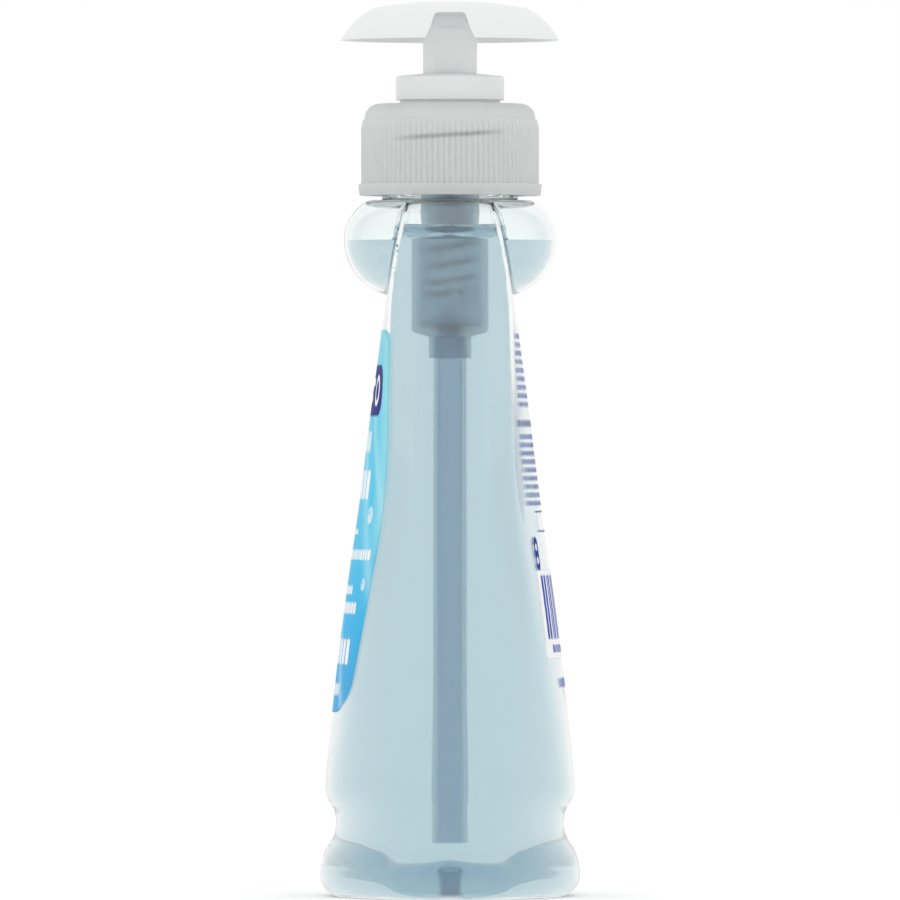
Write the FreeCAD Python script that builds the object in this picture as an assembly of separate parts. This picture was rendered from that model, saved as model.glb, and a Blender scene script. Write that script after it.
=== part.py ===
"""Hand soap pump bottle: a clear blown bottle with a ball shoulder, filled with liquid soap, and a
screw-on dispensing pump with its cylinder, valves, spring, dip tube and palm-wide head.

Millimetres, +Z up. The origin is the middle of the foot. The labels face -X (front) and +X (back),
the spout points to +Y, and the bottle's two narrow side faces look to -Y and +Y.
"""
import FreeCAD, Part
import math
import os

# ---------------------------------------------------------------- bottle
shoulder_z = 136.0        # flat land around the foot of the neck
wall = 0.6                # blown wall of the body
width_ratio = 1.345       # plan of the body: width along Y over depth along X
foot_radius = 22.3        # outer edge of the ring that stands on the table
foot_trim = 0.4           # the foot's curve starts this far below its flat ring
foot_bulge = 25.5         # widest half depth of the foot, at foot_bulge_z
foot_bulge_z = 5.0
groove_radius = 22.3      # bottom of the groove above the foot, at groove_z
groove_z = 13.8
body_radius = 24.55       # half depth of the body form at its lower end, at body_low_z
body_low_z = 22.4
body_mid_radius = 23.3    # slight outward bow half way up
body_top_radius = 20.0    # half depth of the body form where the side shoulders begin
side_shoulder_radius = 9.5
side_shoulder_drop = 0.2  # top of the side shoulders below the land
core_radius = 22.0        # half depth of the core, which fills the groove at the narrow sides
core_ratio = 1.55         # plan of the core: width over depth
core_edge = 2.2           # rounding of its foot
core_taper_z = 18.0       # above this it narrows, to end inside the body
core_top_z = 24.0
core_top_radius = 21.1
dome_radius = 16.5        # push-up in the base, a low cone with a rounded top
dome_height = 6.4
dome_flank = ((0.75, 0.33), (0.5, 0.62), (0.25, 0.86))  # shares of its radius and height, going up
liquid_level = 127.9

# The front and back faces: height, half depth at the middle, and radius of their bow in plan.
face_rows = [
    (-2.0, 27.7, 60.0),
    (22.4, 24.55, 60.0),
    (41.0, 22.4, 66.0),
    (60.8, 19.9, 70.0),
    (79.0, 17.3, 75.0),
    (96.0, 15.2, 104.0),
    (107.8, 13.6, 200.0),
    (115.5, 12.7, 400.0),
    (126.6, 11.2, 400.0),
    (138.0, 8.4, 400.0),
]
face_half_span = 36.0     # the faces are drawn this far to each side, past the body form

# The narrow sides: height, half width at the middle, and radius of their bow in plan.
side_rows = [
    (-2.0, 32.6, 35.0),
    (22.4, 31.9, 35.0),
    (41.0, 30.7, 35.0),
    (60.8, 29.6, 35.0),
    (79.0, 28.7, 35.0),
    (96.0, 27.5, 35.0),
    (107.8, 26.4, 35.0),
    (115.5, 25.6, 35.0),
    (126.6, 24.4, 35.0),
    (138.0, 23.0, 35.0),
]
side_half_span = 27.0     # drawn this far towards the front and back

# ---------------------------------------------------------------- ball shoulder and neck
ball_radius = 20.75       # widest part of the ball, at ball_z
ball_z = 128.4
ball_lower_arc = 11.3     # radius of its underside in section
ball_upper_arc = 8.5      # radius of its top in section
neck_base_radius = 13.25
neck_base_height = 2.6
neck_root_radius = 12.5   # between the threads
neck_bore_radius = 10.7
neck_height = 14.2        # land to sealing rim
thread_pitch = 4.233      # six threads to the inch
thread_turns = 1.25
thread_depth = 1.15
thread_width = 2.0        # at its root; half of this at its crest
thread_start = 5.0        # of the neck thread, above the land

# ---------------------------------------------------------------- labels
label_thick = 0.12
label_glue = 0.03         # adhesive between film and bottle
label_margin = 0.5        # label edge inside the edge of the face
label_low_z = 36.0
label_high_z = 110.6

# ---------------------------------------------------------------- closure, gasket, collar
closure_gap = 1.0         # land to the closure's lower edge
closure_low_radius = 17.7
closure_mid_radius = 18.1
closure_high_radius = 17.0
closure_band = 2.2        # smooth band below the ribs
closure_dome_height = 3.0
closure_dome_flat = 13.2  # radius of its flat top
closure_bore_clear = 0.45  # neck thread crest to the closure's inner wall
closure_roof = 2.2
rib_count = 96
rib_depth = 0.4
gasket_thick = 1.0
gasket_hole_clear = 0.6
collar_radius = 10.6
collar_undercut = 0.8
collar_undercut_height = 0.65
collar_gap = 0.15
collar_height = 5.35
collar_cone_height = 0.4

# ---------------------------------------------------------------- pump cylinder
flange_radius = 12.4
flange_thick = 1.5
cylinder_radius = 5.7     # outside
cylinder_bore = 4.7
cylinder_low_z = 109.2
cylinder_toe = 0.6        # cone from the nipple out to the cylinder's lower edge
boss_radius = 8.0         # outside of the head of the cylinder, through the closure
boss_height = 5.6         # above the flange
boss_bore = 6.3
boss_bore_depth = 9.2
boss_wall = 1.1
boss_wall_drop = 2.6      # thick wall below the flange
nipple_length = 4.7
nipple_wall = 0.8
inlet_radius = 1.6
seat_height = 1.3         # of the cone under the inlet ball
seat_depth = 0.7          # of that cone
seat_gap = 0.03           # resting ball to the edge of its hole
tube_radius = 2.5
tube_bore = 1.8
tube_low_z = 10.3
fit = 0.05                # radial clearance of running fits
loose = 0.3               # gap between parts that pass each other freely

# ---------------------------------------------------------------- inlet valve and spring
inlet_ball_radius = 2.2
ball_lift = 1.0
cage_roof = 0.9
cage_hole = 1.5
cage_slot = 1.0           # width of the crossed slots in its roof
cage_slot_reach = 3.0
wire_radius = 0.45
spring_radius = 3.5       # middle of the wire
spring_turns = 6

# ---------------------------------------------------------------- piston and stem
stroke = 6.5
stem_radius = 3.5
stem_bore = 1.4
stem_neck_radius = 3.0    # where the piston seal sits
stem_flange_radius = 5.9
stem_flange_thick = 1.2
stem_pocket = 2.1         # bore around the outlet ball
stem_socket = 5.0         # length of the stem pressed into the head
seal_low_z = 133.2
seal_height = 6.0
seal_wall = 1.0           # of the sleeve between its lips
seal_lip = 1.2            # height of the upper lip above the sleeve
retainer_radius = 4.3
retainer_thick = 1.2
retainer_spigot = 3.6     # length pressed into the stem
outlet_ball_radius = 1.6
outlet_bore = 1.1
outlet_seat_depth = 0.5

# ---------------------------------------------------------------- head
column_radius = 5.3
column_flat = 4.3         # axis to the flat on its rear
column_clear = 0.3        # column to the hole in the collar
cap_gap = 6.6             # collar top to the rim of the cap
cap_radius = 21.4
cap_height = 7.6
cap_wall = 1.3
cap_flare = 6.4           # rim to the edge of the flat top, seen in plan
cap_top_rise = 1.3        # crown of the top
socket_wall = 1.2
socket_depth = 3.2
spout_radius = 2.9
spout_bore = 1.7
spout_reach = 30.0
spout_bend = 5.0
spout_droop = 50.0        # degrees that the tip turns down
hood_wall = 1.15
hood_end = 24.5
notch_half_width = 4.8    # bell-shaped notch in the rear of the cap, measured at the rim
notch_neck = 3.95         # half width where the flare of its foot ends
notch_neck_height = 1.9
notch_corner = 3.2        # half width where its top corners begin
notch_corner_height = 4.1
notch_flat = 2.2          # half width of its flat top
notch_height = 5.1
recess_half_width = 2.15
recess_height = 2.3
recess_depth = 0.3
recess_drop = 0.5         # top of the recess below the top of the notch

# ---------------------------------------------------------------- heights that follow
neck_top = shoulder_z + neck_height
flange_low = neck_top + gasket_thick
flange_top = flange_low + flange_thick
closure_low = shoulder_z + closure_gap
closure_top = flange_top + closure_roof
closure_bore = neck_root_radius + thread_depth + closure_bore_clear
boss_top = flange_top + boss_height
collar_low = closure_top + collar_gap
collar_top = collar_low + collar_height + collar_cone_height
stem_flange_top = boss_top - loose
cap_rim = collar_top + cap_gap
cap_top = cap_rim + cap_height
column_top = cap_top - cap_wall
spout_z = cap_rim + loose + spout_radius
boss_low_radius = boss_bore + boss_wall
nipple_radius = tube_radius + nipple_wall
tube_top = cylinder_low_z - 0.2
seat_top = cylinder_low_z + seat_height
cage_low = seat_top
ball_rest = seat_top - seat_depth + math.sqrt((inlet_ball_radius + seat_gap) ** 2 - inlet_radius ** 2)
cage_ceiling = ball_rest + inlet_ball_radius + ball_lift
cage_top = cage_ceiling + cage_roof
retainer_low = seal_low_z - retainer_thick
outlet_seat_low = seal_low_z + retainer_spigot - outlet_seat_depth
outlet_ball_rest = outlet_seat_low + math.sqrt((outlet_ball_radius + seat_gap) ** 2 - outlet_bore ** 2)
pocket_top = outlet_ball_rest + outlet_ball_radius + ball_lift

ORIGIN = FreeCAD.Vector(0, 0, 0)
UP = FreeCAD.Vector(0, 0, 1)
FAR = 100.0


def outline(start, *steps):
    """Closed wire of (radius, height) points in the XZ plane. A step of one point is a straight
    run to it; a step of two points is an arc through the first to the second."""
    here = FreeCAD.Vector(start[0], 0, start[1])
    first = here
    edges = []
    for step in steps:
        points = [FreeCAD.Vector(r, 0, z) for r, z in step]
        if len(points) == 1:
            edges.append(Part.makeLine(here, points[0]))
        else:
            edges.append(Part.Arc(here, points[0], points[1]).toShape())
        here = points[-1]
    edges.append(Part.makeLine(here, first))
    return Part.Wire(edges)


def turned(start, *steps):
    """Solid turned about the Z axis from such an outline."""
    return Part.Face(outline(start, *steps)).revolve(ORIGIN, UP, 360)


def rod(radius, low, high):
    return Part.makeCylinder(radius, high - low, FreeCAD.Vector(0, 0, low))


def ring(outer, inner, low, high):
    return rod(outer, low, high).cut(rod(inner, low - 1, high + 1))


def slab(x, y, low, high):
    """Upright box; x and y are (from, to)."""
    corner = FreeCAD.Vector(x[0], y[0], low)
    return Part.makeBox(x[1] - x[0], y[1] - y[0], high - low, corner)


def on_arc(centre, radius, degrees):
    """Point of an arc, its angle counted from the outward direction towards up."""
    turn = math.radians(degrees)
    return (centre[0] + radius * math.cos(turn), centre[1] + radius * math.sin(turn))


def stretched(shape, ratio):
    """Plan of a turned form stretched along Y into an ellipse. The form is first turned so that
    its seam runs down the middle of a narrow side."""
    shape.rotate(ORIGIN, UP, 90)
    scale = FreeCAD.Matrix()
    scale.scale(1.0, ratio, 1.0)
    return shape.transformGeometry(scale)


def helical_ridge(radius, depth, low, sign):
    """Thread ridge about Z: sign +1 stands outwards from the radius, -1 stands inwards. Its root
    is sunk a little into the wall, and its height above low runs over the thread's turns."""
    path = Part.makeHelix(thread_pitch, thread_pitch * thread_turns, radius)
    half = thread_width / 2
    root = radius - sign * 0.2
    crest = radius + sign * depth
    points = [(root, -half), (crest, -half / 2), (crest, half / 2), (root, half)]
    profile = Part.makePolygon([FreeCAD.Vector(r, 0, z) for r, z in points + points[:1]])
    ridge = Part.Wire(path.Edges).makePipeShell([profile], True, True)
    ridge.translate(FreeCAD.Vector(0, 0, low))
    return Part.Solid(ridge) if ridge.ShapeType == "Shell" else ridge


# ---------------------------------------------------------------- bottle forms
def barrel_form(inset):
    """Elliptical barrel with its foot, groove and side shoulders, drawn inset from its surface."""
    top = shoulder_z - side_shoulder_drop
    arc_z = top - side_shoulder_radius
    centre = (body_top_radius - side_shoulder_radius, arc_z)
    corner = side_shoulder_radius - inset
    mid_z = (body_low_z + arc_z) / 2
    rise = (foot_radius + 0.72 * (foot_bulge - foot_radius) - inset, 0.28 * foot_bulge_z)
    above_foot = ((foot_bulge + groove_radius) / 2, (foot_bulge_z + groove_z) / 2 + 0.6)
    below_body = ((body_radius + groove_radius) / 2, (body_low_z + groove_z) / 2)
    profile = turned(
        (0, inset - foot_trim),
        [(foot_radius - 0.7 * foot_trim - inset, inset - foot_trim)],
        [(rise[0], rise[1] + inset), (foot_bulge - inset, foot_bulge_z)],
        [(foot_bulge - 0.45 - inset, foot_bulge_z + 2.6), (above_foot[0] - inset, above_foot[1])],
        [(groove_radius - inset, groove_z), (below_body[0] - inset, below_body[1])],
        [(body_radius - 0.25 - inset, body_low_z - 2.4), (body_radius - inset, body_low_z)],
        [(body_mid_radius - inset, mid_z), (body_top_radius - inset, arc_z)],
        [on_arc(centre, corner, 45), on_arc(centre, corner, 90)],
        [(0, top - inset)],
    )
    return stretched(profile, width_ratio)


def core_form(inset):
    """Narrower, more elongated ellipse in the foot. It is inside the barrel at the front and back
    and outside it at the narrow sides, where it fills the groove."""
    radius = core_radius - inset
    low = inset - foot_trim
    edge_middle = on_arc((radius - core_edge, low + core_edge), core_edge, -45)
    profile = turned(
        (0, low),
        [(radius - core_edge, low)],
        [edge_middle, (radius, low + core_edge)],
        [(radius, core_taper_z)],
        [(core_top_radius - inset, core_top_z - inset)],
        [(0, core_top_z - inset)],
    )
    return stretched(profile, core_ratio)


def bowed_section(height, half_depth, bow, half_span, inset):
    """Lens-shaped plan section between two panels that bow towards -X and +X."""
    radius = bow - inset
    crest = half_depth - inset
    edge = crest - (radius - math.sqrt(radius ** 2 - half_span ** 2))
    corners = [FreeCAD.Vector(x, y, height) for x, y in (
        (-edge, -half_span), (-edge, half_span), (edge, half_span), (edge, -half_span))]
    front = Part.Arc(corners[0], FreeCAD.Vector(-crest, 0, height), corners[1]).toShape()
    back = Part.Arc(corners[2], FreeCAD.Vector(crest, 0, height), corners[3]).toShape()
    left = Part.makeLine(corners[1], corners[2])
    right = Part.makeLine(corners[3], corners[0])
    return Part.Wire([front, left, back, right])


def face_form(inset):
    """Everything between the front and the back face."""
    sections = [bowed_section(z, depth, bow, face_half_span, inset) for z, depth, bow in face_rows]
    return Part.makeLoft(sections, True, False)


def side_form(inset):
    """Everything between the two narrow sides."""
    sections = [bowed_section(z, width, bow, side_half_span, inset) for z, width, bow in side_rows]
    form = Part.makeLoft(sections, True, False)
    form.rotate(ORIGIN, UP, 90)
    return form


def body_form(inset):
    """Barrel and core between the narrow sides, cut flat where they stand."""
    below_foot = slab((-FAR, FAR), (-FAR, FAR), -1, inset)
    return barrel_form(inset).fuse(core_form(inset)).common(side_form(inset)).cut(below_foot)


def ball_form(inset):
    """Ball shoulder under the neck, turned from two arcs that meet at its widest place."""
    lower = (ball_radius - ball_lower_arc, ball_z)
    upper = (ball_radius - ball_upper_arc, ball_z)
    rise = shoulder_z - inset - ball_z
    end_turn = math.degrees(math.asin(rise / (ball_upper_arc - inset)))
    ball = turned(
        (0, ball_z - ball_lower_arc + inset),
        [on_arc(lower, ball_lower_arc - inset, -90)],
        [on_arc(lower, ball_lower_arc - inset, -45), (ball_radius - inset, ball_z)],
        [on_arc(upper, ball_upper_arc - inset, end_turn / 2),
         on_arc(upper, ball_upper_arc - inset, end_turn)],
        [(0, shoulder_z - inset)],
    )
    ball.rotate(ORIGIN, UP, 40)
    return ball


def dome_form(grown):
    """Push-up in the base: two arcs through the named places on its flank."""
    height = dome_height + grown
    edge = dome_radius + grown
    low, middle, high = [(edge * across, height * up) for across, up in dome_flank]
    shape = turned(
        (0, -1.0),
        [(edge, -1.0)],
        [(edge, 0)],
        [low, middle],
        [high, (0, height)],
    )
    return stretched(shape, width_ratio)


def bottle_form(inset):
    """Filled outer form of body and ball, or with an inset the form of the hollow inside."""
    body = body_form(inset).common(face_form(inset))
    return body.fuse(ball_form(inset)).cut(dome_form(inset))


def make_hollow():
    """Inside of body and ball, up to the foot of the neck."""
    return bottle_form(wall)


def make_bottle(hollow):
    thread = helical_ridge(neck_root_radius, thread_depth, shoulder_z + thread_start, 1)
    base = rod(neck_base_radius, shoulder_z - 1, shoulder_z + neck_base_height)
    neck = base.fuse(rod(neck_root_radius, shoulder_z, neck_top)).fuse(thread)
    bore = rod(neck_bore_radius, shoulder_z - 2 * wall, neck_top + 1)
    return bottle_form(0).fuse(neck).cut(hollow).cut(bore)


def make_liquid(hollow):
    """Soap up to its level, with a straight well in which the pump hangs."""
    below = slab((-FAR, FAR), (-FAR, FAR), -1, liquid_level)
    tube_well = rod(tube_radius + loose, tube_low_z - loose, liquid_level + 1)
    nipple_well = rod(nipple_radius + loose, cylinder_low_z - nipple_length - loose, liquid_level + 1)
    cylinder_well_low = cylinder_low_z - cylinder_toe - loose
    cylinder_well = rod(cylinder_radius + loose, cylinder_well_low, liquid_level + 1)
    return hollow.common(below).cut(tube_well).cut(nipple_well).cut(cylinder_well)


def make_label(side):
    """Thin film on the front (-1) or back (+1) face, its edge just inside the face's edge."""
    outer = face_form(-label_glue - label_thick)
    film = outer.cut(face_form(-label_glue)).common(body_form(label_margin))
    x = (-FAR, 0) if side < 0 else (0, FAR)
    return film.common(slab(x, (-FAR, FAR), label_low_z, label_high_z))


# ---------------------------------------------------------------- closure, gasket, collar
def ribbed_prism(outer, low, high):
    """Prism with rib_count small teeth around it."""
    points = []
    for tooth in range(rib_count):
        for share, radius in ((0.0, outer - rib_depth), (0.3, outer), (0.6, outer), (0.9, outer - rib_depth)):
            turn = 2 * math.pi * (tooth + share) / rib_count
            points.append(FreeCAD.Vector(radius * math.cos(turn), radius * math.sin(turn), low))
    face = Part.Face(Part.makePolygon(points + points[:1]))
    return face.extrude(FreeCAD.Vector(0, 0, high - low))


def make_closure():
    rib_top = closure_top - closure_dome_height
    skirt_mid = (closure_low + rib_top) / 2
    dome_mid = ((closure_high_radius + closure_dome_flat) / 2 + 0.9, closure_top - 0.3 * closure_dome_height)
    outside = turned(
        (0, closure_low),
        [(closure_low_radius, closure_low)],
        [(closure_mid_radius, skirt_mid), (closure_high_radius, rib_top)],
        [(closure_high_radius - 0.3, rib_top)],
        [dome_mid, (closure_dome_flat, closure_top)],
        [(0, closure_top)],
    )
    rib_low = closure_low + closure_band
    grooves = ring(closure_mid_radius + 1, closure_high_radius - 1, rib_low, rib_top).cut(
        ribbed_prism(closure_high_radius + rib_depth, rib_low - 1, rib_top + 1))
    outer_grooves = grooves.cut(rod(closure_high_radius, rib_low - 1, rib_top + 1))
    inside = rod(closure_bore, closure_low - 1, flange_top)
    hole = rod(boss_radius + loose, flange_top - 1, closure_top + 1)
    shell = outside.cut(outer_grooves).cut(inside).cut(hole)
    thread_low = shoulder_z + thread_start + thread_pitch / 2
    return shell.fuse(helical_ridge(closure_bore, thread_depth, thread_low, -1))


def make_gasket():
    return ring(neck_root_radius, boss_low_radius + gasket_hole_clear, neck_top, flange_low)


def make_collar():
    inner = boss_radius + fit
    roof = boss_top
    body = turned(
        (inner, collar_low),
        [(collar_radius - collar_undercut, collar_low)],
        [(collar_radius - collar_undercut, collar_low + collar_undercut_height)],
        [(collar_radius, collar_low + collar_undercut_height)],
        [(collar_radius, collar_top - collar_cone_height - 0.6)],
        [(collar_radius - 0.18, collar_top - collar_cone_height - 0.18),
         (collar_radius - 0.6, collar_top - collar_cone_height)],
        [(column_radius + column_clear + 0.4, collar_top)],
        [(column_radius + column_clear, collar_top)],
        [(column_radius + column_clear, roof)],
        [(inner, roof)],
    )
    return body


# ---------------------------------------------------------------- pump cylinder and valves
def make_cylinder():
    head_low = boss_top - boss_bore_depth
    outside = turned(
        (0, cylinder_low_z - nipple_length),
        [(nipple_radius, cylinder_low_z - nipple_length)],
        [(nipple_radius, cylinder_low_z - cylinder_toe)],
        [(cylinder_radius - 1.0, cylinder_low_z)],
        [(cylinder_radius - 0.3, cylinder_low_z + 0.3), (cylinder_radius, cylinder_low_z + 1.0)],
        [(cylinder_radius, flange_low - boss_wall_drop - boss_wall)],
        [(boss_low_radius, flange_low - boss_wall_drop)],
        [(boss_low_radius, flange_low)],
        [(flange_radius, flange_low)],
        [(flange_radius, flange_top)],
        [(boss_radius, flange_top)],
        [(boss_radius, boss_top)],
        [(0, boss_top)],
    )
    inside = turned(
        (0, tube_top),
        [(inlet_radius, tube_top)],
        [(inlet_radius, seat_top - seat_depth)],
        [(inlet_ball_radius + 0.6, seat_top)],
        [(cylinder_bore, seat_top)],
        [(cylinder_bore, head_low)],
        [(boss_bore, head_low + 0.3)],
        [(boss_bore, boss_top + 1)],
        [(0, boss_top + 1)],
    )
    socket = rod(tube_radius, cylinder_low_z - nipple_length - 1, tube_top)
    return outside.cut(inside).cut(socket)


def make_dip_tube():
    return ring(tube_radius, tube_bore, tube_low_z, tube_top)


def make_inlet_ball():
    return Part.makeSphere(inlet_ball_radius, FreeCAD.Vector(0, 0, ball_rest))


def make_ball_cage():
    """Cup turned upside down over the ball: its roof stops the ball and carries the spring."""
    pocket = inlet_ball_radius + 0.4
    body = ring(cylinder_bore, pocket, cage_low, cage_ceiling)
    roof = ring(cylinder_bore, cage_hole, cage_ceiling, cage_top)
    cage = body.fuse(roof)
    for turn in (0, 90):
        slot = slab((-cage_slot_reach, cage_slot_reach), (-cage_slot / 2, cage_slot / 2),
                    cage_ceiling - 0.5, cage_top + 1)
        slot.rotate(ORIGIN, UP, turn)
        cage = cage.cut(slot)
    return cage


def make_spring():
    """Round wire with its end turns resting on the cage below and the retainer above."""
    low = cage_top + wire_radius
    high = retainer_low - wire_radius
    pitch = (high - low) / spring_turns
    path = Part.makeHelix(pitch, high - low, spring_radius)
    profile = Part.Wire(Part.makeCircle(
        wire_radius, FreeCAD.Vector(spring_radius, 0, 0), FreeCAD.Vector(0, 1, 0)))
    coil = Part.Wire(path.Edges).makePipeShell([profile], True, True)
    coil.translate(FreeCAD.Vector(0, 0, low))
    return coil


# ---------------------------------------------------------------- piston, stem and outlet valve
def make_piston_seal():
    """Soft cup seal with a lip at each end that runs in the cylinder."""
    outer = cylinder_bore - fit
    inner = stem_neck_radius + fit
    high = seal_low_z + seal_height
    return turned(
        (inner, seal_low_z),
        [(outer - 0.9, seal_low_z)],
        [(outer, seal_low_z + 0.3)],
        [(outer, seal_low_z + 1.3)],
        [(stem_neck_radius + seal_wall, seal_low_z + 2.1)],
        [(stem_neck_radius + seal_wall, high - 2.1)],
        [(outer, high - 1.3)],
        [(outer, high)],
        [(outer - 0.5, high)],
        [(outer - 1.1, high - seal_lip)],
        [(inner, high - seal_lip)],
    )


def make_retainer():
    """Button that holds the seal on the stem; its top is the seat of the outlet ball."""
    spigot_top = seal_low_z + retainer_spigot
    return turned(
        (outlet_bore, retainer_low),
        [(retainer_radius, retainer_low)],
        [(retainer_radius, seal_low_z)],
        [(stem_pocket, seal_low_z)],
        [(stem_pocket, spigot_top)],
        [(outlet_ball_radius + 0.2, spigot_top)],
        [(outlet_bore, outlet_seat_low)],
    )


def make_outlet_ball():
    return Part.makeSphere(outlet_ball_radius, FreeCAD.Vector(0, 0, outlet_ball_rest))


def make_stem():
    seat = seal_low_z + seal_height - seal_lip
    flange_low_z = stem_flange_top - stem_flange_thick
    top = stem_flange_top + stem_socket
    outside = turned(
        (0, seal_low_z),
        [(stem_neck_radius, seal_low_z)],
        [(stem_neck_radius, seat)],
        [(stem_radius, seat)],
        [(stem_radius, flange_low_z)],
        [(stem_flange_radius, flange_low_z)],
        [(stem_flange_radius, stem_flange_top)],
        [(stem_radius, stem_flange_top)],
        [(stem_radius, top)],
        [(0, top)],
    )
    pocket = rod(stem_pocket, seal_low_z - 1, pocket_top)
    return outside.cut(pocket).cut(rod(stem_bore, pocket_top - 1, top + 1))


# ---------------------------------------------------------------- head
def spout_body(radius, reach):
    """Round tube along +Y whose tip turns down."""
    straight_end = reach - spout_bend * math.sin(math.radians(spout_droop))
    start = FreeCAD.Vector(0, 0, spout_z)
    bend = FreeCAD.Vector(0, straight_end, spout_z)
    half = math.radians(spout_droop / 2)
    full = math.radians(spout_droop)
    mid = bend + FreeCAD.Vector(0, spout_bend * math.sin(half), -spout_bend * (1 - math.cos(half)))
    end = bend + FreeCAD.Vector(0, spout_bend * math.sin(full), -spout_bend * (1 - math.cos(full)))
    path = Part.Wire([Part.makeLine(start, bend), Part.Arc(bend, mid, end).toShape()])
    circle = Part.Wire(Part.makeCircle(radius, start, FreeCAD.Vector(0, 1, 0)))
    return path.makePipeShell([circle], True, False)


def make_column():
    """Upright column with a flat rear, and the spout that leaves it to +Y."""
    upright = rod(column_radius, stem_flange_top, column_top)
    upright = upright.cut(slab((-FAR, FAR), (-FAR, -column_flat), stem_flange_top - 1, cap_top))
    recess_top = cap_rim + notch_height - recess_drop
    recess = slab((-recess_half_width, recess_half_width), (-FAR, -column_flat + recess_depth),
                  recess_top - recess_height, recess_top)
    tip = spout_reach - spout_radius * math.sin(math.radians(spout_droop))
    body = upright.cut(recess).fuse(spout_body(spout_radius, tip))
    socket = rod(stem_radius, stem_flange_top - 1, stem_flange_top + stem_socket)
    riser = rod(spout_bore, stem_flange_top, spout_z)
    return body.cut(socket).cut(riser).cut(spout_body(spout_bore, tip + 0.01))


def cap_form(inset):
    """Dome of the cap: a flared skirt that turns over into a nearly flat top."""
    top = cap_top - inset
    turn_over = (cap_radius - cap_flare - inset / 2, top - cap_top_rise)
    return turned(
        (0, cap_rim),
        [(cap_radius - 1.1 * inset, cap_rim)],
        [(cap_radius - cap_flare / 2 - 0.75 * inset, cap_rim + 4.1 - 0.8 * inset), turn_over],
        [(turn_over[0] / 2, top - 0.2 * cap_top_rise), (0, top)],
    )


def make_cap():
    socket = ring(column_radius + socket_wall, column_radius, column_top - socket_depth, column_top)
    dome = cap_form(0).cut(cap_form(cap_wall))
    top_pad = rod(column_radius + socket_wall, column_top, cap_top - 0.3)
    hood = Part.makeCylinder(spout_radius + hood_wall, hood_end - column_radius,
                             FreeCAD.Vector(0, column_radius, spout_z), FreeCAD.Vector(0, 1, 0))
    hood = hood.common(slab((-FAR, FAR), (0, FAR), cap_rim + loose, cap_top))
    cap = dome.fuse(top_pad).fuse(socket).fuse(hood)
    tunnel = Part.makeCylinder(spout_radius + fit, FAR, FreeCAD.Vector(0, 0, spout_z),
                               FreeCAD.Vector(0, 1, 0))
    below_tunnel = slab((-spout_radius - fit, spout_radius + fit), (0, FAR), cap_rim - 1, spout_z)
    core = rod(column_radius, cap_rim - 1, column_top)
    low = cap_rim - 0.5
    neck_z = cap_rim + notch_neck_height
    corner_z = cap_rim + notch_corner_height
    top = cap_rim + notch_height
    middle_share = 1 - math.cos(math.radians(45))
    round_x = notch_flat + (1 - middle_share) * (notch_corner - notch_flat)
    round_z = corner_z + (1 - middle_share) * (top - corner_z)
    bell = Part.Face(outline(
        (-notch_half_width, low),
        [(-notch_half_width, cap_rim)],
        [(-notch_neck, neck_z)],
        [(-notch_corner, corner_z)],
        [(-round_x, round_z), (-notch_flat, top)],
        [(notch_flat, top)],
        [(round_x, round_z), (notch_corner, corner_z)],
        [(notch_neck, neck_z)],
        [(notch_half_width, cap_rim)],
        [(notch_half_width, low)],
    )).extrude(FreeCAD.Vector(0, -FAR, 0))
    return cap.cut(tunnel).cut(below_tunnel).cut(core).cut(bell)


def main():
    hollow = make_hollow()
    parts = {
        "bottle": make_bottle(hollow),
        "liquid_soap": make_liquid(hollow),
        "front_label": make_label(-1),
        "back_label": make_label(1),
        "screw_closure": make_closure(),
        "neck_gasket": make_gasket(),
        "pump_collar": make_collar(),
        "pump_cylinder": make_cylinder(),
        "dip_tube": make_dip_tube(),
        "inlet_ball": make_inlet_ball(),
        "ball_cage": make_ball_cage(),
        "return_spring": make_spring(),
        "piston_seal": make_piston_seal(),
        "seal_retainer": make_retainer(),
        "outlet_ball": make_outlet_ball(),
        "pump_stem": make_stem(),
        "spout_column": make_column(),
        "press_cap": make_cap(),
    }
    os.makedirs("parts", exist_ok=True)
    for name, shape in parts.items():
        box = shape.optimalBoundingBox(False, False)
        print(f"{name:14s} {shape.ShapeType:9s} solids {len(shape.Solids)} valid {shape.isValid()} "
              f"volume {shape.Volume / 1000:8.3f} ml  z {box.ZMin:7.2f} {box.ZMax:7.2f} "
              f"x {box.XMin:6.2f} {box.XMax:6.2f} y {box.YMin:6.2f} {box.YMax:6.2f}")
        shape.exportStep(f"parts/{name}.step")


main()
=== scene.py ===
# %% [markdown]
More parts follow.
